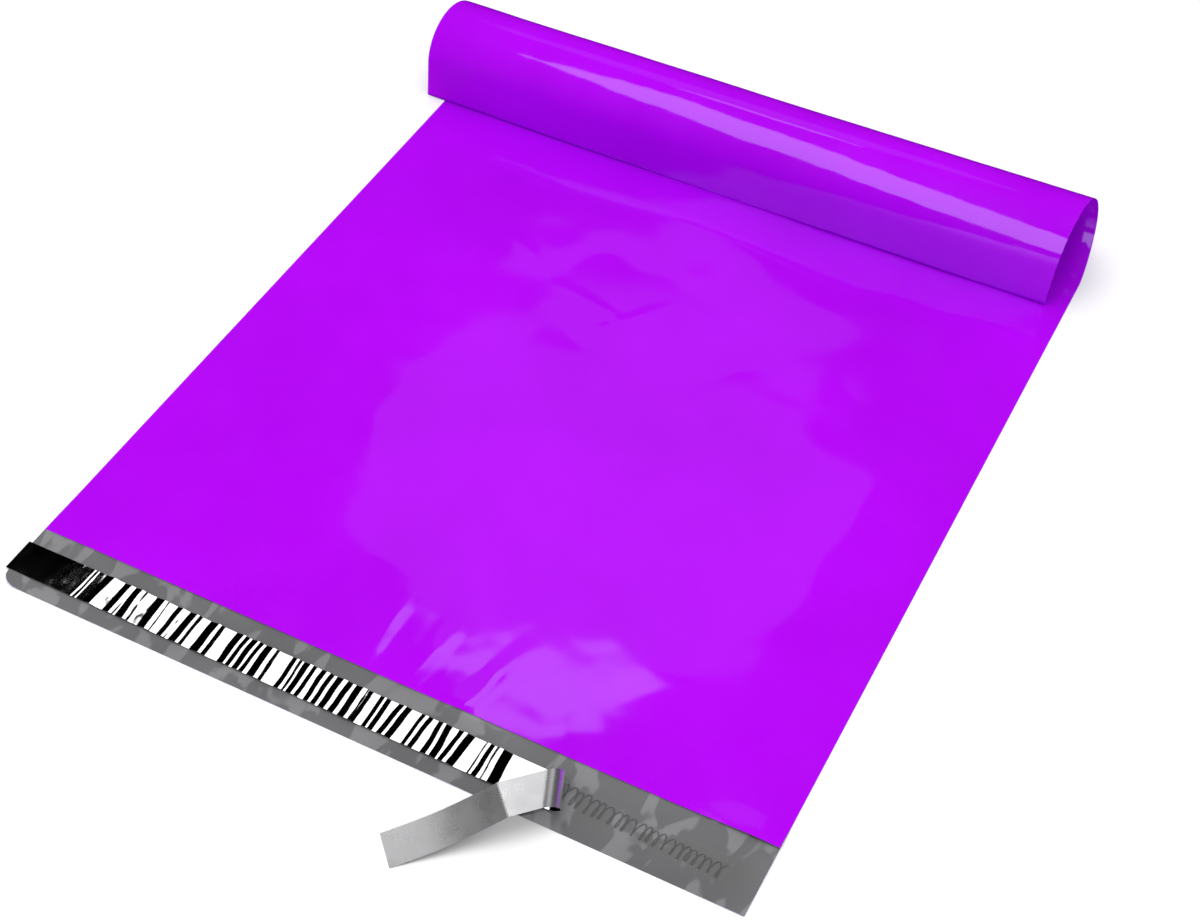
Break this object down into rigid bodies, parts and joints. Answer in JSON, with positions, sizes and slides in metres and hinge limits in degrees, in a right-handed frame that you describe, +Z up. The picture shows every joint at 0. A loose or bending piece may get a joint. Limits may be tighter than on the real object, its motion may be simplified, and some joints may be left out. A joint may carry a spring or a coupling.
{
  "type": "poly mailer bag",
  "caption": "Flat self-seal shipping bag of thin plastic film, with a flap, an adhesive band, a partly peeled release liner and its closed end curled over.",
  "frame": {"origin": "middle of the object's box, on the surface that the bag lies on", "axes": "+Z up, +Y from the mouth towards the curled closed end, +X to the right as seen from the flap"},
  "size_m": [0.445, 0.5726, 0.058],
  "materials": {
    "bag_film": "glossy purple film outside, grey inside",
    "adhesive": "clear tacky hot-melt, rippled",
    "liner": "mirror-bright metallised film"
  },
  "bodies": {
    "root": {"bag_film": "bag_film", "adhesive_strip": "adhesive", "release_liner": "liner"}
  },
  "joints": []
}
